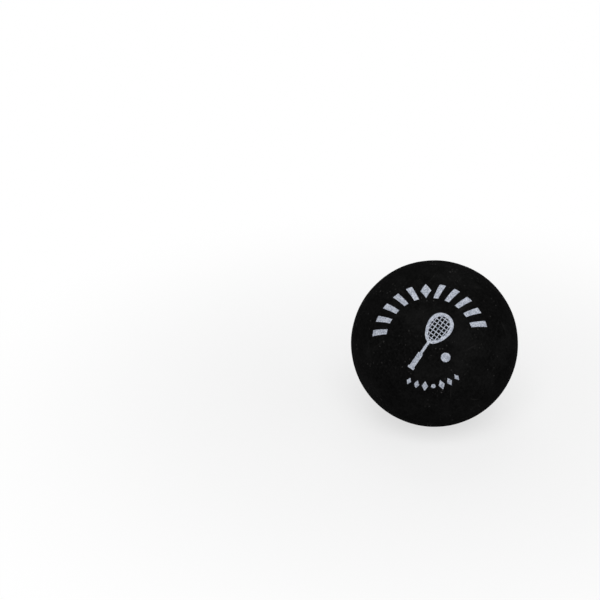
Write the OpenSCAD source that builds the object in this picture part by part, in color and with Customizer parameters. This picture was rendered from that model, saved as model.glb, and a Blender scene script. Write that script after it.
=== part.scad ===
// Hollow rubber squash ball: two moulded cups cemented edge to edge, with a printed face.
// The origin is the ball's centre, +Z is up, and the print faces -Y, tilted towards +Z.

/* [Ball] */
// Outer diameter of the ball
ball_d = 40; // [30:0.5:60]
// Thickness of the rubber wall
wall = 5.2; // [3:0.1:8]

/* [Seam] */
// Thickness of the cured cement between the two edges
cement_t = 0.16; // [0.06:0.02:0.4]
// Radius of the cement bead squeezed into the hollow
bead_r = 0.6; // [0.3:0.05:1.2]

/* [Print] */
// Thickness of an ink film
ink_t = 0.04; // [0.02:0.01:0.1]
// Height of the print's centre above the level, as an angle at the ball's centre
print_tilt = 28.7; // [0:0.1:60]
// Turn of the print about its own centre, counter-clockwise as seen
print_turn = 9; // [-45:1:45]

/* [Upper arc] */
// Angle from the print's centre to the middle of the upper marks
upper_polar = 36.7; // [34:0.1:44]
// Slanted bars on each side of the upper lozenge
upper_bars = 5; // [2:1:6]
// Distance from one upper mark to the next, along the arc
upper_pitch = 3.1; // [2:0.05:3.4]
// Height of an upper mark
upper_h = 4.3; // [2:0.1:5]
// Width of a slanted bar
bar_w = 1.35; // [0.6:0.05:1.7]
// Sideways shift of a bar's top against its foot
bar_lean = 0.95; // [0:0.05:1.5]
// Width of the upper lozenge
upper_lozenge_w = 2.5; // [1:0.1:3]

/* [Lower arc] */
// Angle from the print's centre to the middle of the lower marks
lower_polar = 30.8; // [29:0.1:44]
// Lozenges on each side of the lower dot
lower_lozenges = 3; // [1:1:5]
// Distance from one lower mark to the next, along the arc
lower_pitch = 1.95; // [1.7:0.05:3]
// Height of the lozenge next to the dot
lower_h = 2.7; // [1.5:0.1:3.5]
// Width of the lozenge next to the dot
lower_lozenge_w = 1.5; // [0.8:0.05:1.6]
// Diameter of the dot in the middle of the lower arc
lower_dot_d = 1.1; // [0.5:0.05:1.6]

/* [Racket and ball] */
// Lean of the racket to the right of the print's upright line
racket_lean = 40; // [20:1:60]
// Length of the racket's head
head_l = 7.8; // [6:0.1:8.4]
// Width of the racket's head
head_w = 5.8; // [4.4:0.1:6.2]
// Width of the head's frame
frame_w = 0.8; // [0.5:0.02:1]
// Width of a string
string_w = 0.22; // [0.14:0.01:0.3]
// Distance from one string to the next
string_pitch = 0.88; // [0.7:0.02:1.3]
// Length of the shaft between the head and the grip
shaft_l = 3; // [2:0.1:4]
// Width of the shaft
shaft_w = 0.66; // [0.4:0.02:0.9]
// Length of the grip with its butt
grip_l = 4.3; // [3:0.1:5]
// Width of the grip
grip_w = 1.25; // [0.8:0.05:1.6]
// Length of the butt at the end of the grip
butt_l = 0.6; // [0.4:0.05:0.9]
// Width of the butt
butt_w = 1.65; // [1.3:0.05:2]
// Diameter of the small ball drawn beside the racket
small_ball_d = 2.2; // [1:0.1:2.6]
// Distance of the small ball to the right of the print's centre
small_ball_right = 3.5; // [3:0.1:4.5]
// Distance of the small ball below the print's centre
small_ball_down = 3.9; // [3:0.1:4.5]

/* [Speed dot] */
// Diameter of the round mark on the far side
speed_dot_d = 3.8; // [2:0.1:6]

/* [Hidden] */
ball_r = ball_d / 2;
hollow_r = ball_r - wall;
// The racket's middle lies on the print's centre
racket_l = head_l + shaft_l + grip_l;
head_middle = racket_l / 2 - head_l / 2;
grip_top = grip_l - racket_l / 2;
// The head narrows towards its shaft by this share
head_taper_share = 0.22;
// Each lozenge is this share of the one before it, counted from the dot
lozenge_share = 0.86;
// Overrun of every cut and of every outline that trims a film
overrun = ball_d / 20;
head_points = 48;
round_fn = 128;
$fn = round_fn;

// Angle at the ball's centre for a length along its surface
function arc_angle(length) = length / ball_r * 180 / PI;

// Plan position of a point on the ball, seen along the print's axis. The arc's middle is at
// the angles polar and turn, along is clockwise along the arc, and out is away from the centre.
function on_arc(polar, turn, along, out) =
    let (p = polar + arc_angle(out), a = turn - arc_angle(along) / sin(polar))
    ball_r * sin(p) * [cos(a), sin(a)];

// Turns the print's own frame, with its axis on +Z and its top on +Y, into the ball's frame
module lay_print() {
    rotate([90 - print_tilt, 0, 0])
        rotate([0, 0, print_turn])
            children();
}

// A sphere whose own poles lie in the plane of the seam
module round_body(r) {
    rotate([90, 0, 0])
        sphere(r);
}

// Everything on the print's side of the plane at this height above the ball's middle
module above(height) {
    translate([-ball_r - overrun, -ball_r - overrun, height])
        cube([ball_d + 2 * overrun, ball_d + 2 * overrun, ball_r + overrun]);
}

// One moulded cup, with a flat edge that stops half the cement short of the middle
module cup() {
    intersection() {
        difference() {
            round_body(ball_r);
            round_body(hollow_r);
        }
        above(cement_t / 2);
    }
}

// A film on the ball's skin, with the outline of its children seen along the print's axis
module ink_film() {
    intersection() {
        difference() {
            round_body(ball_r + ink_t);
            round_body(ball_r);
        }
        linear_extrude(height = ball_r + overrun)
            children();
    }
}

// A lozenge on an arc, this wide and this tall
module lozenge(polar, turn, w, h) {
    polygon([
        on_arc(polar, turn, 0, h / 2), on_arc(polar, turn, w / 2, 0),
        on_arc(polar, turn, 0, -h / 2), on_arc(polar, turn, -w / 2, 0)
    ]);
}

// A slanted bar on an arc, whose top is shifted clockwise by twice the half lean
module slanted_bar(polar, turn, half_lean) {
    polygon([
        on_arc(polar, turn, half_lean - bar_w / 2, upper_h / 2),
        on_arc(polar, turn, half_lean + bar_w / 2, upper_h / 2),
        on_arc(polar, turn, bar_w / 2 - half_lean, -upper_h / 2),
        on_arc(polar, turn, -half_lean - bar_w / 2, -upper_h / 2)
    ]);
}

// Five bars lean away from the lozenge on each side of it
module upper_arc() {
    lozenge(upper_polar, 90, upper_lozenge_w, upper_h);
    step = arc_angle(upper_pitch) / sin(upper_polar);
    for (side = [-1, 1], i = [1:upper_bars])
        slanted_bar(upper_polar, 90 - side * i * step, side * bar_lean / 2);
}

// Lozenges that grow smaller away from the dot
module lower_arc() {
    translate(on_arc(lower_polar, -90, 0, 0))
        circle(d = lower_dot_d);
    step = arc_angle(lower_pitch) / sin(lower_polar);
    for (side = [-1, 1], i = [1:lower_lozenges]) {
        share = pow(lozenge_share, i - 1);
        lozenge(lower_polar, -90 + side * i * step, lower_lozenge_w * share, lower_h * share);
    }
}

// Outline of a racket's head drawn in by a margin, an ellipse narrowed towards the foot
module head_outline(margin) {
    polygon([
        for (i = [0:head_points - 1])
            let (a = 360 * i / head_points)
            [
                (head_w / 2 - margin) * cos(a) * (1 + head_taper_share * sin(a)),
                (head_l / 2 - margin) * sin(a)
            ]
    ]);
}

// Strings side by side across this width, each this long
module strings(width, length) {
    count = floor((width - frame_w) / string_pitch / 2);
    for (i = [-count:count])
        translate([i * string_pitch, 0])
            square([string_w, length], center = true);
}

// A bar that stands on this height, on the racket's middle line
module upright_bar(width, height, foot) {
    translate([-width / 2, foot])
        square([width, height]);
}

// The ring of the head with its strings, which end under the middle of the frame
module head() {
    difference() {
        head_outline(0);
        head_outline(frame_w);
    }
    intersection() {
        head_outline(frame_w / 2);
        union() {
            strings(head_w, head_l);
            rotate([0, 0, 90])
                strings(head_l, head_w);
        }
    }
}

// A racket that stands upright with its middle on the print's centre
module racket() {
    translate([0, head_middle])
        head();
    upright_bar(shaft_w, shaft_l + frame_w, grip_top - frame_w / 2);
    upright_bar(grip_w, grip_l, -racket_l / 2);
    upright_bar(butt_w, butt_l, -racket_l / 2);
}

// A leaning racket and a small ball beside it
module emblem() {
    rotate([0, 0, -racket_lean])
        racket();
    translate([small_ball_right, -small_ball_down])
        circle(d = small_ball_d);
}

module front_half_shell() {
    color("#101011")
        lay_print()
            cup();
}

module rear_half_shell() {
    color("#101011")
        lay_print()
            rotate([180, 0, 0])
                cup();
}

// The cement fills the joint flush with the skin and stands as a bead round the hollow
module seam_cement() {
    color("#2a2724")
        lay_print() {
            intersection() {
                difference() {
                    sphere(ball_r);
                    sphere(hollow_r);
                }
                translate([0, 0, -cement_t / 2])
                    cylinder(h = cement_t, r = ball_r + overrun);
            }
            intersection() {
                sphere(hollow_r);
                rotate_extrude()
                    translate([hollow_r, 0])
                        circle(bead_r);
            }
        }
}

module upper_arc_print() {
    color("#b8bac8")
        lay_print()
            ink_film()
                upper_arc();
}

module centre_emblem_print() {
    color("#b8bac8")
        lay_print()
            ink_film()
                emblem();
}

module lower_arc_print() {
    color("#b8bac8")
        lay_print()
            ink_film()
                lower_arc();
}

// One round mark on the skin of the rear cup, straight behind the print
module speed_dot() {
    color("#e8c81e")
        lay_print()
            rotate([180, 0, 0])
                ink_film()
                    circle(d = speed_dot_d);
}

front_half_shell();
rear_half_shell();
seam_cement();
upper_arc_print();
centre_emblem_print();
lower_arc_print();
speed_dot();
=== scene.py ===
# %% [markdown]
# # A squash ball
# A squash ball is two thick rubber cups, cemented edge to edge round a sealed hollow, then buffed all over so
# that it is dead matt, and printed. The frame that loads first holds the ball's real solids. Everything made
# below is a finer skin for one of those solids, so each piece stays exactly where its solid is.

import math

import bpy
import numpy as np
from mathutils import Matrix, Vector


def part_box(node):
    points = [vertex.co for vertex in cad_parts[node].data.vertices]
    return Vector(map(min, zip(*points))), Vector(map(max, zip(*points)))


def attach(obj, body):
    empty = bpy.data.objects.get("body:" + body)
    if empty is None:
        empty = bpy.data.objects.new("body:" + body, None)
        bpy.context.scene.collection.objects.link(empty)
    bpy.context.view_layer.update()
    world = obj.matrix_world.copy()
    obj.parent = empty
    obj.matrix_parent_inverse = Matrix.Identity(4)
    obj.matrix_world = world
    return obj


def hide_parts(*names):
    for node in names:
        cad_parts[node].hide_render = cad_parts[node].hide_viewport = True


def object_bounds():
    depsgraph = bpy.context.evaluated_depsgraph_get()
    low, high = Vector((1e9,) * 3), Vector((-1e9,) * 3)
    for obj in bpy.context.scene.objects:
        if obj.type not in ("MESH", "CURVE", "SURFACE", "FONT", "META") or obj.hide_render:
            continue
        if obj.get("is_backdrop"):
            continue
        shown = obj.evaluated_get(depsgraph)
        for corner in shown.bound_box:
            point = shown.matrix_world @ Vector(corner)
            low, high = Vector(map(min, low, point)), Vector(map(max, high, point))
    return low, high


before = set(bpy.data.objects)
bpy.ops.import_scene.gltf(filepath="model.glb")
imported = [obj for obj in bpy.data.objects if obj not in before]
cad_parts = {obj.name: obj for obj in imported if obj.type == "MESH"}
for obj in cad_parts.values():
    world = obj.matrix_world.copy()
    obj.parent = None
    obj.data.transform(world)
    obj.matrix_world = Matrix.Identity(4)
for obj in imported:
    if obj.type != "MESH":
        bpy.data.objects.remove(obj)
cad_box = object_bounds()
MM = 0.001

# The solid's facets leave its box a few microns short, so the radius is rounded to a tenth of a millimetre.
low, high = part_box("front_half_shell")
BALL_R = round((high.x - low.x) / 2, 4)
print(f"ball radius {BALL_R / MM:.2f} mm, nodes {sorted(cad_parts)}")

# %% [markdown]
# ## The camera
# The photograph was taken with a long lens from about half a metre, looking down at the ball. A long lens
# flattens the ball, so its outline stays a true circle even well off the middle of the picture. The camera is
# placed in real units from the ball's centre, and the last lines check where the centre lands in the picture.

# %% Place the camera
PICTURE_SIDE = 600
CAMERA_PLACE = Vector((29.5, -418.0, 220.6)) * MM
CAMERA_HEADING = 8.461
CAMERA_PITCH = -26.598
CAMERA_ROLL = 0.42
CAMERA_LENS = 118
CAMERA_NEAREST, CAMERA_FURTHEST = 10 * MM, 10


def add_object(name, data):
    """An object for the data, put into the scene."""
    made = bpy.data.objects.new(name, data)
    bpy.context.scene.collection.objects.link(made)
    return made


def add_camera():
    """A camera starts by looking straight down. It is rolled, tipped up to its pitch and turned."""
    data = bpy.data.cameras.new("camera")
    data.lens = CAMERA_LENS
    data.clip_start = CAMERA_NEAREST
    data.clip_end = CAMERA_FURTHEST
    camera = add_object("camera", data)
    heading = Matrix.Rotation(math.radians(CAMERA_HEADING), 4, "Z")
    pitch = Matrix.Rotation(math.radians(90 + CAMERA_PITCH), 4, "X")
    roll = Matrix.Rotation(math.radians(CAMERA_ROLL), 4, "Z")
    camera.matrix_world = Matrix.Translation(CAMERA_PLACE) @ heading @ pitch @ roll
    bpy.context.scene.camera = camera
    return camera


def in_picture(camera, point):
    """Pixels from the top left corner: the lens over the sensor's width, times the offset over the depth."""
    seen = camera.matrix_world.inverted() @ point
    scale = PICTURE_SIDE * camera.data.lens / camera.data.sensor_width / -seen.z
    return PICTURE_SIDE / 2 + seen.x * scale, PICTURE_SIDE / 2 - seen.y * scale


camera = add_camera()
across, down = in_picture(camera, Vector((0, 0, 0)))
print(f"ball centre at {across:.1f}, {down:.1f} in the picture")

# %% [markdown]
# ## The ball's own frame
# Each piece is worked out in a frame where the print's centre is the north pole and the cemented joint is the
# equator. One rotation then lays it into the shared frame: tipped back so that the print looks at the camera,
# and turned a little, as the ball happened to lie.

# %% Lay the ball's own frame into the shared one
PRINT_TILT = math.radians(28.7)
PRINT_TURN = math.radians(9)
tip = Matrix.Rotation(math.pi / 2 - PRINT_TILT, 3, "X")
turn = Matrix.Rotation(PRINT_TURN, 3, "Z")
LAY = np.array(tip @ turn)
NEAR_SIDE = np.array([1, 1, 1])
FAR_SIDE = np.array([1, -1, -1])
print(f"the print looks along {LAY[:, 2].round(3)}")

# %% [markdown]
# ## The buffed skin
# A real ball is never a perfect sphere. The mould and the buffing wheel leave it very slightly lumpy, with a
# fine grain over that. An image could hold such a surface, but a sum of sine waves in random directions is
# shorter, has no grid and no seam, and gives the same height wherever two pieces meet. The ink asks the same
# function as the rubber, so it lies on the grain like paint.

# %% Height of the skin
LUMP, LUMP_LENGTHS = 0.012 * MM, (7 * MM, 14 * MM)
PEEL, PEEL_LENGTHS = 0.0035 * MM, (1.4 * MM, 2.8 * MM)
GRAIN, GRAIN_LENGTHS = 0.0032 * MM, (0.55 * MM, 0.9 * MM)
LUMP_SEED, PEEL_SEED, GRAIN_SEED = 1, 2, 3
JOINT_DEPTH, JOINT_REACH = 0.03 * MM, 0.16 * MM


def waves(seed, lengths, count=72):
    """A bumpy field with no direction: the sum of sine waves, each with its own direction, phase and length
    between the two lengths, scaled so that its spread is one."""
    rng = np.random.default_rng(seed)
    ways = rng.normal(size=(3, count))
    ways *= math.tau / np.linalg.norm(ways, axis=0) / rng.uniform(*lengths, count)
    starts = rng.uniform(0, math.tau, count)
    return lambda points: np.sin(points @ ways + starts).sum(-1) * math.sqrt(2 / count)


lumps = waves(LUMP_SEED, LUMP_LENGTHS)
peel = waves(PEEL_SEED, PEEL_LENGTHS)
grain = waves(GRAIN_SEED, GRAIN_LENGTHS)


def skin_height(points):
    """Height above the true sphere: three fields of waves, less a groove whose depth falls off with the
    distance from the joint as a bell curve does."""
    groove = JOINT_DEPTH * np.exp(-((points[..., 2] / JOINT_REACH) ** 2))
    return LUMP * lumps(points) + PEEL * peel(points) + GRAIN * grain(points) - groove


def on_skin(points, height=0.0):
    """Points of the true sphere, moved out along their own radius to the skin and a height above it."""
    return points / BALL_R * (BALL_R + skin_height(points) + height)[..., None]


round_once = np.linspace(0, math.tau, 400)
over_poles = BALL_R * np.stack([np.cos(round_once), 0 * round_once, np.sin(round_once)], axis=-1)
print(f"the skin rises and falls by {np.ptp(skin_height(over_poles)) / MM:.3f} mm on a circle over the poles")

# %% [markdown]
# ## From grids to closed pieces
# Every surface here is a grid: two parameters in, one point out. Faces are then only a matter of counting,
# because a vertex's neighbours are the next ones in its row and column. A piece prints its volume, because a
# film or a cup that is open or inside out would not have the right one.

# %% Faces of a grid, and a piece from its solids
def grid_faces(rows, columns, first=0, around=False, along=False):
    """Quads of a grid numbered row by row from first. around joins the last column to the first one, and
    along joins the last row to the first one."""
    number = first + np.arange(rows * columns).reshape(rows, columns)
    if around:
        number = np.hstack([number, number[:, :1]])
    if along:
        number = np.vstack([number, number[:1]])
    corners = number[:-1, :-1], number[:-1, 1:], number[1:, 1:], number[1:, :-1]
    return np.stack(corners, axis=-1).reshape(-1, 4)


def volume(points, parts):
    """Signed volume: the sum over triangles of a sixth of the triple product of their corners."""
    total = 0
    for faces in parts:
        for k in range(1, faces.shape[1] - 1):
            a, b, c = points[faces[:, 0]], points[faces[:, k]], points[faces[:, k + 1]]
            total += np.einsum("ij,ij->i", a, np.cross(b, c)).sum() / 6
    return total


def add_piece(name, solids, cad_node):
    """One mesh from closed solids, each a pair of points and face arrays, laid into the shared frame. A solid
    whose volume comes out negative is inside out, so its faces are turned. The piece hangs from the ball's
    only body and hides the CAD node that it stands in for."""
    points, faces, first, total = [], [], 0, 0
    for solid, parts in solids:
        size = volume(solid, parts)
        for part in parts:
            outward = part if size > 0 else part[:, ::-1]
            faces.extend((outward + first).tolist())
        points.append(solid)
        first += len(solid)
        total += abs(size)
    mesh = bpy.data.meshes.new(name)
    mesh.from_pydata(np.concatenate(points) @ LAY.T, [], faces)
    mesh.shade_smooth()
    piece = add_object(name, mesh)
    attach(piece, "root")
    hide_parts(cad_node)
    triangles = sum(len(face) - 2 for face in faces)
    print(f"{name}: {triangles} triangles, {len(solids)} solids, {total / MM**3:.2f} mm3")
    return piece


# %% [markdown]
# ## The two rubber cups
# A globe's lines of longitude crowd together at its pole, right where the print is. A square grid bent into a
# disc and then over a dome has no pole at all, and its cells keep nearly the same area everywhere.

# %% A square grid bent into a disc, and then over a dome
DOME_CELLS = 240
COLLAR = 1.2 * MM


def disc_grid(cells):
    """A square grid bent into the unit disc: a point's distance is the larger of its two coordinates, and
    its angle is an eighth of a turn times the smaller over the larger."""
    side = np.linspace(-1, 1, cells + 1)
    a, b = np.meshgrid(side, side, indexing="ij")
    flat = np.abs(a) > np.abs(b)
    far = np.where(flat, a, b)
    near = np.where(flat, b, a)
    swing = math.pi / 4 * near / np.where(far == 0, 1, far)
    angle = np.where(flat, swing, math.pi / 2 - swing)
    return far[..., None] * np.stack([np.cos(angle), np.sin(angle)], axis=-1)


def edge_loop(rows, columns):
    """The numbers of a grid's outer vertices, once round."""
    number = np.arange(rows * columns).reshape(rows, columns)
    return np.concatenate([number[:-1, 0], number[-1, :-1], number[:0:-1, -1], number[0, :0:-1]])


def dome():
    """Points of the dome, from the pole down to the collar. It spreads the bent grid by equal areas, so the
    height falls with the square of the distance in the disc."""
    cells = disc_grid(DOME_CELLS)
    reach = (cells**2).sum(-1)
    height = BALL_R - reach * (BALL_R - COLLAR)
    spread = np.sqrt((BALL_R**2 - height**2) / np.where(reach == 0, 1, reach))
    return np.concatenate([cells * spread[..., None], height[..., None]], axis=-1).reshape(-1, 3)


print(f"a dome has {len(dome())} points, {DOME_CELLS * 4} of them along its edge")

# %% [markdown]
# ### Collar, land and hollow
# The dome's edge is evenly spaced, so everything below it can go on as rings with as many points: a collar
# down to the joint, the flat land that is cemented, and the wall of the hollow. The collar's rings crowd
# towards the joint, because the fine groove is there.

# %% The two cups
WALL = 5.2 * MM
CEMENT = 0.16 * MM
HOLLOW_R = BALL_R - WALL
COLLAR_RINGS, LAND_RINGS, HOLLOW_RINGS = 8, 3, 20
COLLAR_CROWDING = 1.6


def ring_points(angles, radius, height):
    """Rings round the ball's axis: one for each pair of radius and height."""
    radius, height = radius[:, None], height[:, None]
    return np.stack([radius * np.cos(angles), radius * np.sin(angles), height + 0 * angles], axis=-1)


def half_shell(side):
    """Points and faces of one cup: the dome, rings down the collar that crowd towards the joint, rings across
    the flat land, rings up the wall of the hollow, and a point that closes it. The side turns it over."""
    top = dome()
    loop = edge_loop(DOME_CELLS + 1, DOME_CELLS + 1)
    angles = np.arctan2(top[loop, 1], top[loop, 0])
    share = np.linspace(1, 0, COLLAR_RINGS + 1)[1:]
    height = CEMENT / 2 + (COLLAR - CEMENT / 2) * share**COLLAR_CROWDING
    collar = ring_points(angles, np.sqrt(BALL_R**2 - height**2), height)
    land_r = np.linspace(BALL_R, HOLLOW_R, LAND_RINGS + 2)[1:-1]
    land = ring_points(angles, land_r, np.full(LAND_RINGS, CEMENT / 2))
    rise = np.linspace(math.asin(CEMENT / 2 / HOLLOW_R), math.pi / 2, HOLLOW_RINGS + 1)[:-1]
    hollow = ring_points(angles, HOLLOW_R * np.cos(rise), HOLLOW_R * np.sin(rise))
    skin = on_skin(np.concatenate([top, collar.reshape(-1, 3)]) * side)
    inside = np.concatenate([land.reshape(-1, 3), hollow.reshape(-1, 3), [[0, 0, HOLLOW_R]]]) * side
    count, first = len(loop), len(top)
    here = np.arange(count)
    after = (here + 1) % count
    join = np.stack([loop, loop[after], first + after, first + here], axis=-1)
    rings = grid_faces(COLLAR_RINGS + LAND_RINGS + HOLLOW_RINGS, count, first, around=True)
    closing = len(skin) + len(inside) - 1
    fan = np.stack([closing - count + here, closing - count + after, np.full(count, closing)], axis=-1)
    return np.concatenate([skin, inside]), [grid_faces(DOME_CELLS + 1, DOME_CELLS + 1), join, rings, fan]


front = add_piece("front_half_shell_skin", [half_shell(NEAR_SIDE)], "front_half_shell")
rear = add_piece("rear_half_shell_skin", [half_shell(FAR_SIDE)], "rear_half_shell")

# %% [markdown]
# ## The cement
# Rubber solution is brushed on both edges, and the press squeezes the spare out. Outside it is buffed off, so
# only a hairline shows. Inside nobody can reach it, and it cures as a small uneven bead. The piece is one
# closed profile carried once round the joint.

# %% Cement ring
BEAD_R = 0.6 * MM
BEAD_SWELL, BEAD_LENGTHS, BEAD_SEED = 0.07, (2 * MM, 6 * MM), 4
CEMENT_STEPS, CEMENT_ARC = 480, 16


def cement_ring():
    """A profile carried round: three points across the skin, the two inner edges of the joint, and between
    these a half circle that stands on the wall of the hollow. The circle meets the wall where the sine of its
    angle is half the bead's radius over the hollow's. Its radius swells and shrinks along the way. The grid's
    rows close on themselves, which makes the two flat faces of the joint."""
    angles = np.arange(CEMENT_STEPS) * math.tau / CEMENT_STEPS
    height = np.array([-CEMENT / 2, 0, CEMENT / 2])
    outer = on_skin(ring_points(angles, np.sqrt(BALL_R**2 - height**2), height))
    lower, _, upper = ring_points(angles, np.sqrt(HOLLOW_R**2 - height**2), height)
    foot = math.asin(BEAD_R / 2 / HOLLOW_R)
    arc = np.linspace(foot, math.pi - foot, CEMENT_ARC)
    bead = ring_points(angles, HOLLOW_R - BEAD_R * np.sin(arc), BEAD_R * np.cos(arc))
    spine = ring_points(angles, np.full(CEMENT_ARC, HOLLOW_R), np.zeros(CEMENT_ARC))
    swell = 1 + BEAD_SWELL * waves(BEAD_SEED, BEAD_LENGTHS)(bead)
    swell[[0, -1]] = 1
    bead = spine + (bead - spine) * swell[..., None]
    rows = np.concatenate([outer, upper[None], bead, lower[None]])
    return rows.reshape(-1, 3), [grid_faces(len(rows), CEMENT_STEPS, around=True, along=True)]


cement = add_piece("seam_cement_ring", [cement_ring()], "seam_cement")

# %% [markdown]
# ## The print
# A soft pad picks silver-grey ink off a plate and presses it on the ball, which leaves a film of a few
# hundredths of a millimetre, with a soft edge. It could be painted by a material, but then it would have no
# thickness of its own. Here every mark is a small grid laid on the skin, and its points lie closer together
# at the edges, where the film is rounded.

# %% Points across a mark
INK, INK_UNDER = 0.035 * MM, 0.004 * MM
INK_ROUND, INK_EDGE_SHARE = 0.07 * MM, 0.25
INK_CELL, LEAST_CELLS, DISC_MORE_CELLS = 0.11 * MM, 3, 4
EDGE_POINTS, EDGE_CLEAR = np.array([0.3, 0.7]), 0.85


def steps(width):
    """Parameters from 0 to 1 across a width, in cells of about one size. Two more points lie on the rounded
    edge at each end, and those of the others that are too close to them are left out."""
    inner = np.linspace(0, 1, max(LEAST_CELLS, round(width / INK_CELL)) + 1)
    edge = INK_ROUND / width
    keep = inner[(inner > EDGE_CLEAR * edge) & (inner < 1 - EDGE_CLEAR * edge)]
    fine = EDGE_POINTS * edge
    return np.concatenate([[0], fine, keep, 1 - fine[::-1], [1]])


print(f"points across a mark of one millimetre: {steps(1 * MM).round(2)}")

# %% [markdown]
# ### A film of ink
# A film has a top, an underside and a wall round its edge, so it is a closed solid like the cups. The top
# follows the skin's own height, a little above it. The underside lies just inside the rubber, so that no gap
# shows, and both waver a little to the sides, because buffed rubber gives ink a ragged edge.

# %% A film over a grid
RAGGED, RAGGED_LENGTHS, RAGGED_SEEDS = 0.011 * MM, (0.25 * MM, 0.6 * MM), (5, 6)
ragged = [waves(seed, RAGGED_LENGTHS) for seed in RAGGED_SEEDS]


def lift(plan, side):
    """Puts plan positions, seen along the print's axis, on the true sphere. The third coordinate is what is
    left of the radius: z is the root of R squared less x squared less y squared."""
    z = np.sqrt(BALL_R**2 - (plan**2).sum(-1))
    return np.concatenate([plan, z[..., None]], axis=-1) * side


def film(plan, depth, full=1.0, ring=False, side=NEAR_SIDE):
    """A closed film over a grid of plan positions, with each vertex's depth inside its edge. Its top rises
    from the edge as a quarter circle does, to the full thickness, and its underside lies just inside the
    rubber. Its outline wavers a little. A ring's grid closes on itself, so it has two edges. Where films
    cross, full gives each its own share of the thickness, so that no two tops lie in each other."""
    waver = [field(lift(plan, side)) for field in ragged]
    ground = lift(plan + RAGGED * np.stack(waver, axis=-1), side)
    fall = 1 - np.clip(depth / INK_ROUND, 0, 1)
    rise = INK_EDGE_SHARE + (1 - INK_EDGE_SHARE) * np.sqrt(1 - fall**2)
    top = on_skin(ground, INK * full * rise)
    under = on_skin(ground, -INK_UNDER)
    rows, columns = depth.shape
    count = rows * columns
    faces = grid_faces(rows, columns, around=ring)
    number = np.arange(count).reshape(rows, columns)
    edges = [number[0, ::-1], number[-1]] if ring else [edge_loop(rows, columns)]
    walls = [np.stack([a, np.roll(a, -1), np.roll(a, -1) + count, a + count], axis=-1) for a in edges]
    points = np.concatenate([top.reshape(-1, 3), under.reshape(-1, 3)])
    return points, [faces, faces[:, ::-1] + count, *walls], np.tile(depth.reshape(-1), 2)


# %% Marks with four corners, round marks, and a piece from films
def quad_film(corners, sizes, place, full=1.0):
    """A film with four corners, in order round it, blended in two ways: along the first and third side, and
    along the other two. place turns the mark's own coordinates into plan positions."""
    s, t = np.meshgrid(steps(sizes[0]), steps(sizes[1]), indexing="ij")
    depth = np.minimum(np.minimum(s, 1 - s) * sizes[0], np.minimum(t, 1 - t) * sizes[1])
    a, b, c, d = np.array(corners)
    s, t = s[..., None], t[..., None]
    return film(place((1 - t) * ((1 - s) * a + s * b) + t * ((1 - s) * d + s * c)), depth, full)


def disc_film(centre, radius, place, side=NEAR_SIDE):
    """A round film: the bent square grid, scaled to the radius."""
    cells = disc_grid(2 * math.ceil(radius / INK_CELL) + DISC_MORE_CELLS)
    depth = radius * (1 - np.sqrt((cells**2).sum(-1)).clip(0, 1))
    return film(place(centre + radius * cells), depth, side=side)


def add_ink(name, films, cad_node):
    """A piece from films. It keeps each vertex's depth inside its mark, in millimetres, for the material."""
    piece = add_piece(name, [(points, parts) for points, parts, _ in films], cad_node)
    depths = np.concatenate([depth for _, _, depth in films]) / MM
    piece.data.attributes.new("ink_depth", "FLOAT", "POINT").data.foreach_set("value", depths)
    return piece


# %% [markdown]
# ### The two arcs
# The marks are plain bars and lozenges on two arcs round the print's centre. A mark on an arc has two
# coordinates: how far along the arc it is, and how far out from the print's centre. Both are lengths on the
# rubber, so they are turned into angles at the ball's centre before they are placed.

# %% Marks on the arcs
UPPER_POLAR = math.radians(36.7)
UPPER_BARS, UPPER_PITCH = 5, 3.1 * MM
UPPER_H, UPPER_LOZENGE_W = 4.3 * MM, 2.5 * MM
BAR_W, BAR_LEAN = 1.35 * MM, 0.95 * MM
LOWER_POLAR = math.radians(30.8)
LOWER_LOZENGES, LOWER_PITCH = 3, 1.95 * MM
LOWER_H, LOWER_LOZENGE_W = 2.7 * MM, 1.5 * MM
LOZENGE_SHARE = 0.86
LOWER_DOT_R = 0.55 * MM
UP, DOWN = math.pi / 2, -math.pi / 2


def on_arc(polar, angle):
    """A function that places (along, out) pairs: out adds to the angle from the print's centre, and along
    is clockwise round it, at the arc's own radius."""

    def place(flat):
        away = polar + flat[..., 1] / BALL_R
        around = angle - flat[..., 0] / BALL_R / math.sin(polar)
        return BALL_R * np.sin(away)[..., None] * np.stack([np.cos(around), np.sin(around)], axis=-1)

    return place


def lozenge(polar, angle, width, height):
    """Four corners on the two axes of the mark."""
    corners = [(0, height / 2), (width / 2, 0), (0, -height / 2), (-width / 2, 0)]
    side = math.hypot(width, height) / 2
    return quad_film(corners, (side, side), on_arc(polar, angle))


def slanted_bar(angle, half_lean):
    """A bar whose top is shifted one way along the arc and whose foot is shifted the other way."""
    left, right, top = -BAR_W / 2, BAR_W / 2, UPPER_H / 2
    corners = [(left - half_lean, -top), (right - half_lean, -top),
               (right + half_lean, top), (left + half_lean, top)]
    return quad_film(corners, (BAR_W, UPPER_H), on_arc(UPPER_POLAR, angle))


def arc_step(pitch, polar):
    """The angle between two marks."""
    return pitch / BALL_R / math.sin(polar)


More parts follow.
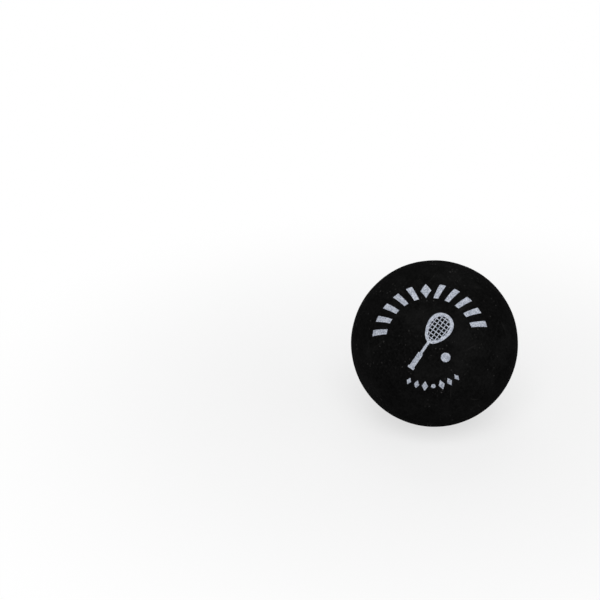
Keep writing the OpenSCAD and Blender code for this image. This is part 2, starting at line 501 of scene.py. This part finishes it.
upper = [lozenge(UPPER_POLAR, UP, UPPER_LOZENGE_W, UPPER_H)]
lower = [disc_film(np.zeros(2), LOWER_DOT_R, on_arc(LOWER_POLAR, DOWN))]
for side in (-1, 1):
    for i in range(1, UPPER_BARS + 1):
        angle = UP - side * i * arc_step(UPPER_PITCH, UPPER_POLAR)
        upper.append(slanted_bar(angle, side * BAR_LEAN / 2))
    for i in range(1, LOWER_LOZENGES + 1):
        share = LOZENGE_SHARE ** (i - 1)
        angle = DOWN + side * i * arc_step(LOWER_PITCH, LOWER_POLAR)
        lower.append(lozenge(LOWER_POLAR, angle, LOWER_LOZENGE_W * share, LOWER_H * share))
upper_ink = add_ink("upper_arc_ink", upper, "upper_arc_print")
lower_ink = add_ink("lower_arc_ink", lower, "lower_arc_print")

# %% [markdown]
# ### The racket and its ball
# A racket is a ring, some straight strings that end under the ring, a shaft and a grip. The ring is an
# ellipse that narrows towards the shaft. It is drawn upright, with its middle on the print's centre, and a
# rotation then leans it over, which leaves room for a small ball beside its grip.

# %% The racket's sizes, and the outline of its head
RACKET_LEAN = math.radians(40)
HEAD_L, HEAD_W, HEAD_TAPER = 7.8 * MM, 5.8 * MM, 0.22
FRAME_W = 0.8 * MM
STRING_W, STRING_PITCH = 0.22 * MM, 0.88 * MM
SHAFT_L, SHAFT_W = 3 * MM, 0.66 * MM
GRIP_L, GRIP_W = 4.3 * MM, 1.25 * MM
BUTT_L, BUTT_W = 0.6 * MM, 1.65 * MM
RACKET_L = HEAD_L + SHAFT_L + GRIP_L
HEAD_MIDDLE = (RACKET_L - HEAD_L) / 2
GRIP_TOP = GRIP_L - RACKET_L / 2
SMALL_BALL_R, SMALL_BALL_PLACE = 1.1 * MM, np.array([3.5, -3.9]) * MM
UPRIGHT_FULL, LEVEL_FULL, SHAFT_FULL, BUTT_FULL = 0.7, 0.65, 0.9, 1.05
HEAD_STEPS, OUTLINE_STEPS = 120, 400


def head_outline(angle, margin):
    """An ellipse drawn in by a margin, whose width grows with the height."""
    x = (HEAD_W / 2 - margin) * np.cos(angle) * (1 + HEAD_TAPER * np.sin(angle))
    y = (HEAD_L / 2 - margin) * np.sin(angle)
    return np.stack([x, y + HEAD_MIDDLE], axis=-1)


print(f"the racket is {RACKET_L / MM:.1f} mm long, and its head's middle is {HEAD_MIDDLE / MM:.2f} mm up")


# %% Frame, strings, shaft, grip and small ball
def leaning(flat):
    """Turns upright coordinates clockwise by the racket's lean."""
    c, s = math.cos(RACKET_LEAN), math.sin(RACKET_LEAN)
    return flat @ np.array([[c, -s], [s, c]])


def bar_film(x, y, full=1.0):
    """A film between two ends across and two ends up."""
    (x0, x1), (y0, y1) = x, y
    return quad_film([(x0, y0), (x1, y0), (x1, y1), (x0, y1)], (x1 - x0, y1 - y0), leaning, full)


def upright_bar(width, foot, top, full=1.0):
    """A bar on the racket's middle line."""
    return bar_film((-width / 2, width / 2), (foot, top), full)


def racket_strings():
    """Upright strings end where the middle of the frame reaches their x. Level ones end at the width that
    this outline has at their height. The two sets differ a little in thickness, as where threads cross."""
    films, half = [], STRING_W / 2
    angle = np.linspace(-math.pi / 2, math.pi / 2, OUTLINE_STEPS)
    x_there, y_there = head_outline(angle, FRAME_W / 2).T
    widest = x_there.argmax()
    count = math.floor((HEAD_W - FRAME_W) / STRING_PITCH / 2)
    for x in np.arange(-count, count + 1) * STRING_PITCH:
        low = np.interp(abs(x), x_there[: widest + 1], y_there[: widest + 1])
        high = np.interp(-abs(x), -x_there[widest:], y_there[widest:])
        films.append(bar_film((x - half, x + half), (low, high), UPRIGHT_FULL))
    count = math.floor((HEAD_L - FRAME_W) / STRING_PITCH / 2)
    for y in HEAD_MIDDLE + np.arange(-count, count + 1) * STRING_PITCH:
        end = np.interp(y, y_there, x_there)
        films.append(bar_film((-end, end), (y - half, y + half), LEVEL_FULL))
    return films


def racket_frame():
    """The ring of the head: one parameter goes round it, and the other goes across its width."""
    angle, across = np.meshgrid(np.arange(HEAD_STEPS) * math.tau / HEAD_STEPS, steps(FRAME_W))
    depth = np.minimum(across, 1 - across) * FRAME_W
    return film(leaning(head_outline(angle, across * FRAME_W)), depth, ring=True)


emblem = [racket_frame()] + racket_strings()
emblem.append(upright_bar(SHAFT_W, GRIP_TOP - FRAME_W / 2, GRIP_TOP + SHAFT_L + FRAME_W / 2, SHAFT_FULL))
emblem.append(upright_bar(GRIP_W, BUTT_L / 2 - RACKET_L / 2, GRIP_TOP))
emblem.append(upright_bar(BUTT_W, -RACKET_L / 2, BUTT_L - RACKET_L / 2, BUTT_FULL))
emblem.append(disc_film(SMALL_BALL_PLACE, SMALL_BALL_R, lambda flat: flat))
emblem_ink = add_ink("centre_emblem_ink", emblem, "centre_emblem_print")

# %% [markdown]
# ### The speed dot
# A coloured dot on the far side tells how lively the ball is. It is the same kind of film as the print, with
# more pigment, so it gets the same construction on the other half of the ball.

# %% Speed dot
SPEED_DOT_R = 1.9 * MM

dot = disc_film(np.zeros(2), SPEED_DOT_R, lambda flat: flat, side=FAR_SIDE)
speed_dot = add_ink("speed_dot_ink", [dot], "speed_dot")

# %% [markdown]
# ## Finishes
# The effects that finishes are made of are shader node groups: a grain, specks of dust, scratches and cloudy
# stains. Each reads Object coordinates in millimetres, so a size in a group is a real size, and its noise
# runs through the ball, so no seam or pole shows on the skin. A few short helpers come first, because nodes
# made one line at a time would hide what a finish does.

# %% Trees, nodes and links
def empty_tree(holder):
    """The node tree of a material or the world, with nothing in it."""
    holder.use_nodes = True
    holder.node_tree.nodes.clear()
    return holder.node_tree


def group(name, inputs, outputs):
    """A shader node group with float inputs, each with its usual value, besides the coordinates."""
    tree = bpy.data.node_groups.new(name, "ShaderNodeTree")
    tree.interface.new_socket("Vector", in_out="INPUT", socket_type="NodeSocketVector")
    for label, value in inputs.items():
        socket = tree.interface.new_socket(label, in_out="INPUT", socket_type="NodeSocketFloat")
        socket.default_value = value
    for label in outputs:
        tree.interface.new_socket(label, in_out="OUTPUT", socket_type="NodeSocketFloat")
    return tree, tree.nodes.new("NodeGroupInput").outputs, tree.nodes.new("NodeGroupOutput").inputs


def fill(tree, socket, value):
    """Links another socket to a socket, or sets its value."""
    if isinstance(value, bpy.types.NodeSocket):
        tree.links.new(value, socket)
    else:
        socket.default_value = value


def node(tree, kind, values=None, **settings):
    """A node with its settings, and its sockets filled. Sockets that share a name go by their number."""
    made = tree.nodes.new("ShaderNode" + kind)
    for key, value in settings.items():
        setattr(made, key, value)
    for key, value in (values or {}).items():
        fill(tree, made.inputs[key], value)
    return made


# %% Sums, ranges, noise and cells
def math_node(tree, operation, *values):
    """The result of one sum on sockets or numbers."""
    return node(tree, "Math", dict(enumerate(values)), operation=operation).outputs[0]


def vector_node(tree, operation, *values, result="Vector", **named):
    """The result of one sum on vectors."""
    values = {**dict(enumerate(values)), **named}
    return node(tree, "VectorMath", values, operation=operation).outputs[result]


def smooth_step(tree, value, start, end):
    """0 at start and 1 at end, with a soft bend between them."""
    values = {"Value": value, "From Min": start, "From Max": end}
    return node(tree, "MapRange", values, interpolation_type="SMOOTHSTEP").outputs["Result"]


def map_range(tree, value, start, end, first, last):
    """Turns the stretch from start to end into the stretch from first to last."""
    values = {"Value": value, "From Min": start, "From Max": end, "To Min": first, "To Max": last}
    return node(tree, "MapRange", values).outputs["Result"]


def noise(tree, vector, per_mm, detail=2.0, roughness=0.5, seed=0.0):
    """Cloudy noise, from 0 to 1, with this many cells in a millimetre. The seed is a fourth coordinate."""
    values = {"Vector": vector, "W": seed, "Scale": per_mm, "Detail": detail, "Roughness": roughness}
    return node(tree, "TexNoise", values, noise_dimensions="4D").outputs["Fac"]


def random_cells(tree, vector, per_mm):
    """Cells round random points, with this many in a millimetre. Distance is to the cell's point, as a share
    of a cell, Position is that point, and Color is random and the same all over a cell."""
    return node(tree, "TexVoronoi", {"Vector": vector, "Scale": per_mm, "Randomness": 1.0}).outputs


# %% [markdown]
# ### Grain
# Buffing tears the rubber's surface into a fine grain, and here and there it pulls a crumb out and leaves a
# pit. The group puts out only a height. A material uses it twice: for a bump, and to make the worn tops of
# the grain paler than its hollows.

# %% Buffed grain
GRAIN_ROUGHNESS = 0.6
PITS_RARE, PITS_COMMON = 0.5, 0.7


def buffed_grain_group():
    """Grain of buffed rubber: the mean of two sizes of noise, less small pits where a crumb came out."""
    inputs = {"Coarse per mm": 1.7, "Fine per mm": 5.5, "Pits": 0.6, "Pits per mm": 1.1, "Pit size": 0.16,
              "Pit soft": 0.06, "Pit drift per mm": 0.9}
    tree, given, result = group("Buffed grain", inputs, ["Height"])
    vector = given["Vector"]
    coarse = noise(tree, vector, given["Coarse per mm"], roughness=GRAIN_ROUGHNESS)
    fine = noise(tree, vector, given["Fine per mm"], roughness=GRAIN_ROUGHNESS)
    cells = random_cells(tree, vector, given["Pits per mm"])
    chance = noise(tree, vector, given["Pit drift per mm"], detail=1.0)
    size = map_range(tree, chance, PITS_RARE, PITS_COMMON, 0.0, given["Pit size"])
    inside = math_node(tree, "SUBTRACT", size, cells["Distance"])
    pit = smooth_step(tree, inside, 0.0, given["Pit soft"])
    both = math_node(tree, "MULTIPLY", math_node(tree, "ADD", coarse, fine), 0.5)
    sunk = math_node(tree, "MULTIPLY", pit, given["Pits"])
    fill(tree, result["Height"], math_node(tree, "SUBTRACT", both, sunk))
    return tree


GRAIN_TREE = buffed_grain_group()
print(f"{GRAIN_TREE.name}: {len(GRAIN_TREE.nodes)} nodes")

# %% [markdown]
# ### Dust
# Dust is what the eye finds first on black rubber: a few clear specks, many faint ones, and soft smudges
# where fingers have been. Scattered dots of one size would look printed, so each speck's size, strength and
# shape are random, and the specks gather in some places.

# %% Specks of dust
def dust_group():
    """Specks of dust: each cell has a small speck, whose size and brightness come from the cell's random
    colour. Most are faint, because the brightness is raised to a power, they gather where a broad noise is
    high, and a fine noise shifts the coordinates so that none is round. Size and softness are shares of a
    cell, so few and large cells give smudges."""
    inputs = {"Per mm": 1.4, "Size": 0.32, "Soft": 0.05, "Power": 1.8, "Warp": 0.3, "Warp per mm": 4.0,
              "Drift per mm": 0.2, "Drift seed": 0.0, "Drift start": 0.42, "Drift end": 0.62}
    tree, given, result = group("Dust", inputs, ["Speck"])
    values = {"Vector": given["Vector"], "Scale": given["Warp per mm"], "Detail": 1.0}
    shift = node(tree, "TexNoise", values).outputs["Color"]
    moved = vector_node(tree, "ADD", given["Vector"], vector_node(tree, "SCALE", shift, Scale=given["Warp"]))
    cells = random_cells(tree, moved, given["Per mm"])
    picked = node(tree, "SeparateColor", {"Color": cells["Color"]}).outputs
    size = math_node(tree, "MULTIPLY", picked["Green"], given["Size"])
    inside = math_node(tree, "SUBTRACT", size, cells["Distance"])
    speck = smooth_step(tree, inside, 0.0, given["Soft"])
    broad = noise(tree, given["Vector"], given["Drift per mm"], seed=given["Drift seed"])
    drift = smooth_step(tree, broad, given["Drift start"], given["Drift end"])
    bright = math_node(tree, "MULTIPLY", math_node(tree, "POWER", picked["Blue"], given["Power"]), drift)
    fill(tree, result["Speck"], math_node(tree, "MULTIPLY", speck, bright))
    return tree


DUST_TREE = dust_group()
print(f"{DUST_TREE.name}: {len(DUST_TREE.nodes)} nodes")

# %% [markdown]
# ### Scratches
# A wall or a floor leaves short pale scratches. A line on a ball is where a plane cuts it, so a random plane
# in each of a few large cells is enough: it needs no drawing, and it works from all sides.

# %% Scratches
MIDDLE_GREY = (0.5, 0.5, 0.5)


def scuff_group():
    """Short light scratches. Each cell has a point, and a plane through it that is square to a random way,
    which is the cell's colour less middle grey. Where the plane cuts the skin near the point there is a
    scratch, of random strength, which fades to its ends."""
    inputs = {"Per mm": 0.18, "Width": 0.15, "Reach": 2.3, "Power": 2.0}
    tree, given, result = group("Scuff", inputs, ["Line"])
    cells = random_cells(tree, given["Vector"], given["Per mm"])
    away = vector_node(tree, "SUBTRACT", given["Vector"], cells["Position"])
    square_to = vector_node(tree, "SUBTRACT", cells["Color"], MIDDLE_GREY)
    square_to = vector_node(tree, "NORMALIZE", square_to)
    off = vector_node(tree, "DOT_PRODUCT", away, square_to, result="Value")
    line = smooth_step(tree, math_node(tree, "ABSOLUTE", off), given["Width"], 0.0)
    end = smooth_step(tree, vector_node(tree, "LENGTH", away, result="Value"), given["Reach"], 0.0)
    picked = node(tree, "SeparateColor", {"Color": cells["Color"]}).outputs["Red"]
    strength = math_node(tree, "MULTIPLY", math_node(tree, "POWER", picked, given["Power"]), end)
    fill(tree, result["Line"], math_node(tree, "MULTIPLY", line, strength))
    return tree


SCUFF_TREE = scuff_group()
print(f"{SCUFF_TREE.name}: {len(SCUFF_TREE.nodes)} nodes")

# %% [markdown]
# ### Bloom
# Wax and sulphur creep out of rubber and dry on it as a pale bloom, which handling rubs off in places. Its
# patches are large, with broken edges, so one noise with much fine detail is enough.

# %% Bloom
def bloom_group():
    """Cloudy stains: large noise broken up by finer, of which only the higher part shows."""
    inputs = {"Per mm": 0.1, "Detail": 4.0, "Roughness": 0.72, "Seed": 0.0, "Start": 0.40, "End": 0.68}
    tree, given, result = group("Bloom", inputs, ["Stain"])
    finer = given["Detail"], given["Roughness"], given["Seed"]
    large = noise(tree, given["Vector"], given["Per mm"], *finer)
    fill(tree, result["Stain"], smooth_step(tree, large, given["Start"], given["End"]))
    return tree


BLOOM_TREE = bloom_group()
print(f"{BLOOM_TREE.name}: {len(BLOOM_TREE.nodes)} nodes")

# %% [markdown]
# ### What every finish starts from
# Each finish is a material with one Principled BSDF. What is the same all over it is set on the shader's own
# sockets, and what changes over the surface is linked to them from the effects.

# %% Material helpers
MIX_SHARE, MIX_FIRST, MIX_SECOND, MIX_RESULT = 0, 6, 7, 2


def material(name):
    """An empty material's tree, its Principled BSDF and Object coordinates in millimetres."""
    made = bpy.data.materials.new(name)
    tree = empty_tree(made)
    shader = node(tree, "BsdfPrincipled")
    node(tree, "OutputMaterial", {"Surface": shader.outputs["BSDF"]})
    place = node(tree, "TexCoord").outputs["Object"]
    return made, tree, shader.inputs, vector_node(tree, "SCALE", place, Scale=1 / MM)


def use(tree, effect, vector, **values):
    """An effect's node in a material, with its own values."""
    placed = tree.nodes.new("ShaderNodeGroup")
    placed.node_tree = effect
    fill(tree, placed.inputs["Vector"], vector)
    for label, value in values.items():
        fill(tree, placed.inputs[label.replace("_", " ")], value)
    return placed.outputs


def mix(tree, share, first, second):
    """A colour between two colours. A Mix node has other sockets of the same names for numbers and vectors,
    so those for colours go by their numbers."""
    values = {MIX_SHARE: share, MIX_FIRST: first, MIX_SECOND: second}
    return node(tree, "Mix", values, data_type="RGBA").outputs[MIX_RESULT]


def add_bump(tree, shader, height, strength, distance):
    """Tilts the shader's normal as if a height of one stood the distance above the surface."""
    bump = node(tree, "Bump", {"Strength": strength, "Distance": distance, "Height": height})
    fill(tree, shader["Normal"], bump.outputs["Normal"])


def grey(value, warmth=0.0):
    """A grey with a little warmth, or coolness if it is negative."""
    return (value * (1 + warmth), value, value * (1 - warmth), 1)


# %% [markdown]
# ## Black rubber
# Buffed rubber is one of the darkest and dullest things in a house: carbon black eats the light, and the
# grain scatters what little is reflected. So the colour is close to nothing, the roughness is high and the
# specular level is low. What makes it rubber is what lies on that: cloudy bloom, dust, and a grain in bump.
# The cement in the joint is the same kind of rubber, a shade paler and warmer.

# %% Rubber
RUBBER, RUBBER_WORN = grey(0.0022), grey(0.0090)
CEMENT_GREY, CEMENT_WORN = grey(0.005, warmth=0.05), grey(0.015, warmth=0.05)
DUST_GREY = grey(0.038, warmth=0.03)
STAIN_SHARE, TOPS_SHARE, SMUDGE_SHARE, SCUFF_SHARE = 0.4, 0.6, 0.25, 0.35
TOPS_START, TOPS_END = 0.38, 0.68
BLOOM_SEED, DUST_SEED = 100.0, 145.0
SMUDGES = {"Per_mm": 0.24, "Size": 0.36, "Soft": 0.3, "Warp": 2.5, "Drift_seed": DUST_SEED}
GRAIN_RANGE, RUBBER_ROUGHNESS = (0.3, 0.7), (0.8, 0.95)
RUBBER_BUMP, RUBBER_BUMP_DISTANCE = 0.6, 0.02 * MM
RUBBER_SPECULAR = 0.002


def black_rubber(name, base, worn):
    """Carbon-black rubber. The tops of its grain and its bloom are paler than its base, and dust, smudges and
    scratches lie on both. The strongest of these three wins wherever they meet."""
    made, tree, shader, vector = material(name)
    stain = use(tree, BLOOM_TREE, vector, Seed=BLOOM_SEED)["Stain"]
    speck = use(tree, DUST_TREE, vector, Drift_seed=DUST_SEED)["Speck"]
    smudge = use(tree, DUST_TREE, vector, **SMUDGES)["Speck"]
    scuff = use(tree, SCUFF_TREE, vector)["Line"]
    skin = use(tree, GRAIN_TREE, vector)
    tops = smooth_step(tree, skin["Height"], TOPS_START, TOPS_END)
    pale = math_node(tree, "MULTIPLY_ADD", stain, STAIN_SHARE, math_node(tree, "MULTIPLY", tops, TOPS_SHARE))
    marks = math_node(tree, "MAXIMUM", speck, math_node(tree, "MULTIPLY", smudge, SMUDGE_SHARE))
    marks = math_node(tree, "MAXIMUM", marks, math_node(tree, "MULTIPLY", scuff, SCUFF_SHARE))
    fill(tree, shader["Base Color"], mix(tree, marks, mix(tree, pale, base, worn), DUST_GREY))
    fill(tree, shader["Roughness"], map_range(tree, skin["Height"], *GRAIN_RANGE, *RUBBER_ROUGHNESS))
    add_bump(tree, shader, skin["Height"], RUBBER_BUMP, RUBBER_BUMP_DISTANCE)
    shader["Specular IOR Level"].default_value = RUBBER_SPECULAR
    print(f"{name}: {len(tree.nodes)} nodes")
    return made


rubber = black_rubber("Black rubber", RUBBER, RUBBER_WORN)
cement_finish = black_rubber("Rubber cement", CEMENT_GREY, CEMENT_WORN)

# %% [markdown]
# ## Ink
# The pad lays ink on the tops of the grain and skips some of its hollows, so a print on buffed rubber is
# speckled, has pinholes, and is thinnest at its edges. The depth that each vertex keeps from its mark's edge
# tells the material where that edge is.

# %% Silver and yellow ink
SILVER_DARK, SILVER = (0.176, 0.197, 0.248, 1), (0.575, 0.608, 0.680, 1)
YELLOW_DARK, YELLOW = (0.50, 0.33, 0.01, 1), (0.80, 0.58, 0.02, 1)
INK_GRAIN = {"Coarse_per_mm": 3.2, "Fine_per_mm": 6.5, "Pits": 0.3}
CLOUD = {"per_mm": 0.7, "detail": 3.0, "roughness": 0.6}
GRAIN_SHARE, MOTTLE_START, MOTTLE_END = 0.80, 0.40, 0.62
SKIPS, SKIP_START, SKIP_END, SKIP_SHARE = {"per_mm": 4.5, "roughness": 0.7}, 0.66, 0.72, 0.75
FRAY, FRAY_DEPTH, FRAY_SOFT = {"per_mm": 7.0, "roughness": 0.6}, 0.09, 0.05
MOTTLE_RANGE, INK_ROUGHNESS = (0.36, 0.64), (0.66, 0.5)
INK_BUMP, INK_BUMP_DISTANCE = 0.5, 0.015 * MM
INK_SPECULAR = 0.2


def ink(name, dark, bright):
    """Matt ink, mottled between two colours by the grain and a little cloud, with rubber showing through at
    pinholes and where a fine noise, in millimetres, reaches further in from the edge than the depth."""
    made, tree, shader, vector = material(name)
    skin = use(tree, GRAIN_TREE, vector, **INK_GRAIN)
    cloud = math_node(tree, "MULTIPLY", noise(tree, vector, **CLOUD), 1 - GRAIN_SHARE)
    mottle = math_node(tree, "MULTIPLY_ADD", skin["Height"], GRAIN_SHARE, cloud)
    colour = mix(tree, smooth_step(tree, mottle, MOTTLE_START, MOTTLE_END), dark, bright)
    depth = node(tree, "Attribute", attribute_name="ink_depth").outputs["Fac"]
    skipped = smooth_step(tree, noise(tree, vector, **SKIPS), SKIP_START, SKIP_END)
    fray = math_node(tree, "MULTIPLY", noise(tree, vector, **FRAY), FRAY_DEPTH)
    frayed = smooth_step(tree, math_node(tree, "SUBTRACT", fray, depth), 0.0, FRAY_SOFT)
    bare = math_node(tree, "MAXIMUM", math_node(tree, "MULTIPLY", skipped, SKIP_SHARE), frayed)
    fill(tree, shader["Base Color"], mix(tree, bare, colour, RUBBER))
    fill(tree, shader["Roughness"], map_range(tree, mottle, *MOTTLE_RANGE, *INK_ROUGHNESS))
    add_bump(tree, shader, skin["Height"], INK_BUMP, INK_BUMP_DISTANCE)
    shader["Specular IOR Level"].default_value = INK_SPECULAR
    print(f"{name}: {len(tree.nodes)} nodes")
    return made


silver = ink("Silver ink", SILVER_DARK, SILVER)
yellow = ink("Yellow ink", YELLOW_DARK, YELLOW)

# %% [markdown]
# ### Each piece's finish
# Every piece is of one stuff, so one material slot is enough. The two cups share the rubber, and the three
# pieces of the print share the silver ink.

# %% Give each piece its finish
finishes = {rubber: [front, rear], cement_finish: [cement], silver: [upper_ink, lower_ink, emblem_ink],
            yellow: [speed_dot]}
for finish, pieces in finishes.items():
    for piece in pieces:
        piece.data.materials.append(finish)
    print(f"{finish.name}: {', '.join(piece.name for piece in pieces)}")

# %% [markdown]
# ## Floor and backdrop
# The background is plain white, but white light from everywhere would wash out a black ball. So the white is
# only what the camera, mirrors and glass see. Near the ball the floor is a real pale surface that takes its
# shadow, and further away it turns into the same white.

# %% Floor
FLOOR_R, FLOOR_HOLE_SHARE = 1.6, 0.02
FLOOR_RINGS, FLOOR_SPOKES = 24, 96
FLOOR_NEAR, FLOOR_FAR = 0.04, 0.13
FLOOR_ALBEDO, FLOOR_WHITE = 0.75, 0.68


def seen_plainly(tree):
    """1 for camera, glossy and transmission rays, and 0 for the light that lands on things."""
    path = node(tree, "LightPath").outputs
    seen = math_node(tree, "MAXIMUM", path["Is Camera Ray"], path["Is Glossy Ray"])
    return math_node(tree, "MAXIMUM", seen, path["Is Transmission Ray"])


def floor_material():
    """Pale matt floor, a part white where it is seen plainly, which turns all white away from the ball."""
    made = bpy.data.materials.new("Floor")
    tree = empty_tree(made)
    place = node(tree, "TexCoord").outputs["Object"]
    away = vector_node(tree, "LENGTH", place, result="Value")
    far = smooth_step(tree, away, FLOOR_NEAR, FLOOR_FAR)
    far = map_range(tree, far, 0.0, 1.0, FLOOR_WHITE, 1.0)
    pale = node(tree, "BsdfDiffuse", {"Color": grey(FLOOR_ALBEDO)}).outputs["BSDF"]
    white = node(tree, "Emission", {"Color": grey(1.0), "Strength": 1.0}).outputs["Emission"]
    share = math_node(tree, "MULTIPLY", far, seen_plainly(tree))
    both = node(tree, "MixShader", {"Fac": share, 1: pale, 2: white}).outputs["Shader"]
    node(tree, "OutputMaterial", {"Surface": both})
    return made


def add_floor():
    """A round floor at the ball's lowest point: rings whose radius grows with the square of their number,
    and one face that closes the small hole in the middle."""
    ball_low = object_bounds()[0]
    angles = np.arange(FLOOR_SPOKES) * math.tau / FLOOR_SPOKES
    radius = FLOOR_R * np.linspace(FLOOR_HOLE_SHARE, 1, FLOOR_RINGS) ** 2
    points = ring_points(angles, radius, np.full(FLOOR_RINGS, ball_low.z)).reshape(-1, 3)
    faces = grid_faces(FLOOR_RINGS, FLOOR_SPOKES, around=True)[:, ::-1].tolist()
    faces.append(list(range(FLOOR_SPOKES)))
    mesh = bpy.data.meshes.new("floor")
    mesh.from_pydata(points, [], faces)
    mesh.materials.append(floor_material())
    floor = add_object("floor", mesh)
    floor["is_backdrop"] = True
    print(f"floor at {ball_low.z / MM:.3f} mm, {len(faces)} faces")


add_floor()

# %% [markdown]
# ## Light
# A black ball shows by the soft light on its skin, and by the dark edge that it keeps against the white. A
# large lamp above the camera lights the print evenly. Three weaker ones round the ball keep the other sides
# from going flat, and the world adds a dim light from everywhere, which softens all the shadows.

# %% World and lamps
WORLD_LIGHT = 0.32


def add_world():
    """White where it is seen plainly, and a dimmer grey as light."""
    world = bpy.data.worlds.new("World")
    bpy.context.scene.world = world
    tree = empty_tree(world)
    strength = map_range(tree, seen_plainly(tree), 0.0, 1.0, WORLD_LIGHT, 1.0)
    light = node(tree, "Background", {"Color": grey(1.0), "Strength": strength}).outputs["Background"]
    node(tree, "OutputWorld", {"Surface": light})


def add_softbox(name, azimuth, elevation, distance, side, power):
    """A square area lamp that looks at the ball. Azimuth 0 is in front of it and 90 is to its right."""
    data = bpy.data.lights.new(name, "AREA")
    data.size = side
    data.energy = power
    lamp = add_object(name, data)
    a, e = math.radians(azimuth), math.radians(elevation)
    way = Vector((math.sin(a) * math.cos(e), -math.cos(a) * math.cos(e), math.sin(e)))
    lamp.location = way * distance
    lamp.rotation_euler = way.to_track_quat("Z", "Y").to_euler()
    print(f"{name} lamp: {power} W from {azimuth} degrees round and {elevation} up")


add_world()
add_softbox("key", azimuth=4, elevation=52, distance=0.9, side=0.6, power=6.0)
add_softbox("fill", azimuth=75, elevation=40, distance=1.0, side=0.7, power=1.0)
add_softbox("back", azimuth=195, elevation=52, distance=1.0, side=0.7, power=1.4)
add_softbox("left", azimuth=285, elevation=8, distance=1.0, side=0.7, power=0.7)
bpy.context.scene.view_settings.view_transform = "Standard"

# %% [markdown]
# ## The size
# The lumps, the grain and the ink may add only a few hundredths of a millimetre to the solids, so both boxes
# are printed, where they can be compared.

# %% Print the size of the solids and of the pieces
boxes = {"cad": cad_box, "visual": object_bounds()}
for name, (lowest, highest) in boxes.items():
    print(f"{name}: {[round(side / MM, 2) for side in highest - lowest]} mm")
